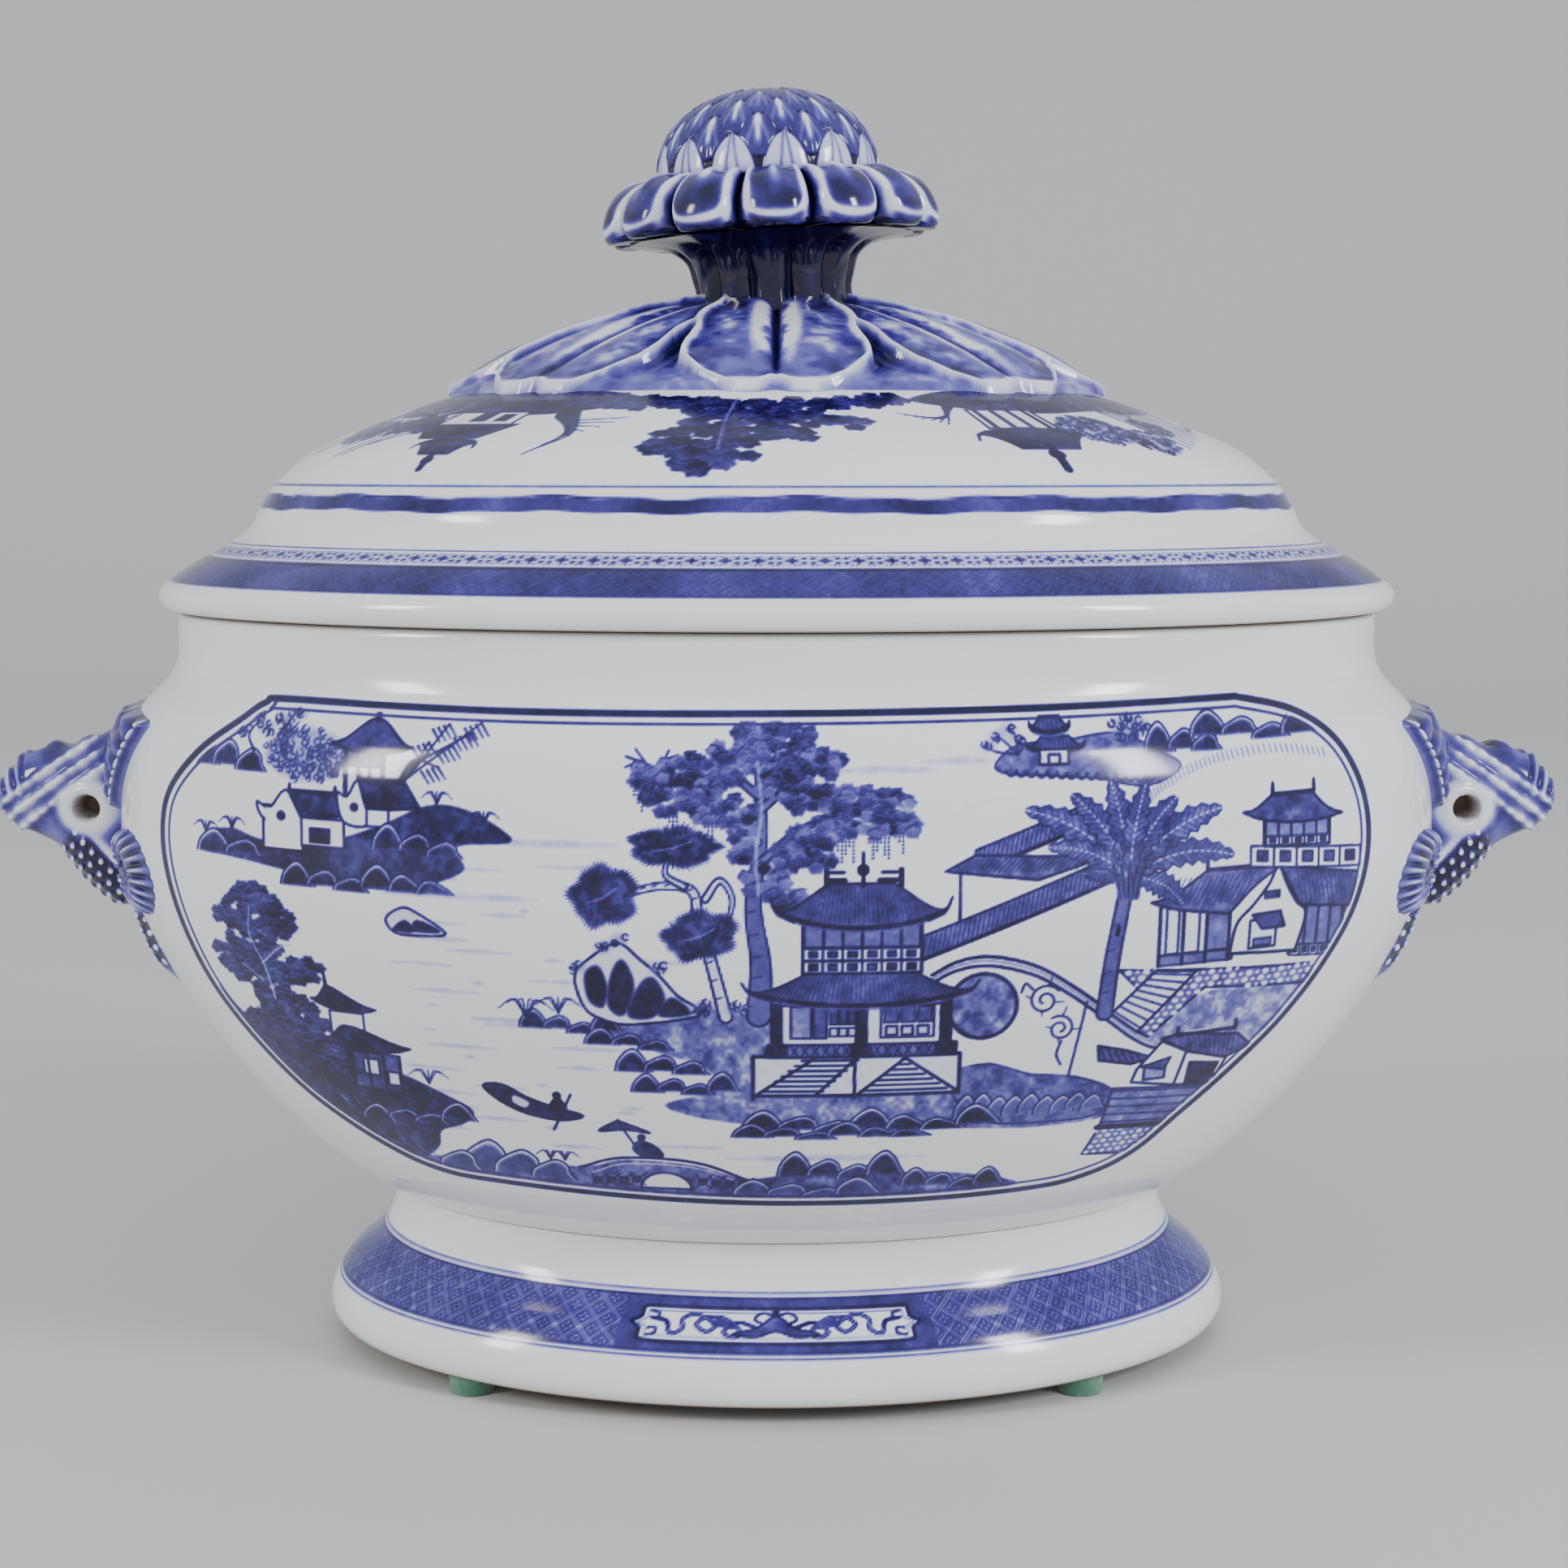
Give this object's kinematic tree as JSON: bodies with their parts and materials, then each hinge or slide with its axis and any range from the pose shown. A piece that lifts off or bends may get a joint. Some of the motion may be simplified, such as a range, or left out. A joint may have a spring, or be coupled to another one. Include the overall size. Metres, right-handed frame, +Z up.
{
  "type": "covered porcelain tureen",
  "caption": "Oval footed porcelain bowl with animal-head end handles and a domed lift-off cover with a bud knop.",
  "frame": {"origin": "centre of the oval on the table plane, at the bottom of the felt pads", "axes": "+X along the long axis from the left handle to the right one, +Y to the back, +Z up; the painted front faces -Y"},
  "size_m": [0.3572, 0.2205, 0.2842],
  "materials": {
    "glazed_white": "glossy bluish-white glaze with faint crackle",
    "foot_glaze": "glossy white glaze with a cobalt lattice band",
    "handle_glaze": "glossy glaze, cobalt pooled in the hollows of the moulding",
    "cover_glaze": "glossy white glaze with cobalt border bands",
    "leaf_glaze": "glossy glaze over moulded relief, cobalt in the hollows",
    "stem_cobalt": "glossy, near-black cobalt",
    "green_felt": "matt felt"
  },
  "bodies": {
    "tureen": {"bowl_shell": "glazed_white", "foot_stand": "foot_glaze", "handle_head_left": "handle_glaze", "handle_head_right": "handle_glaze", "handle_mane_left": "handle_glaze", "handle_mane_right": "handle_glaze", "handle_beard_left": "handle_glaze", "handle_beard_right": "handle_glaze", "ear_left_front": "handle_glaze", "ear_left_back": "handle_glaze", "ear_right_front": "handle_glaze", "ear_right_back": "handle_glaze", "felt_pad_1": "green_felt", "felt_pad_2": "green_felt", "felt_pad_3": "green_felt", "felt_pad_4": "green_felt"},
    "cover": {"cover_dome": "cover_glaze", "cover_flange": "glazed_white", "cover_leaf_collar": "leaf_glaze", "knop_stem": "stem_cobalt", "knop_calyx": "leaf_glaze", "knop_bud": "leaf_glaze"}
  },
  "joints": [
    {"name": "cover_lift", "type": "slide", "parent": "tureen", "child": "cover", "axis": [0, 0, 1], "range_m": [0, 0.15]}
  ]
}
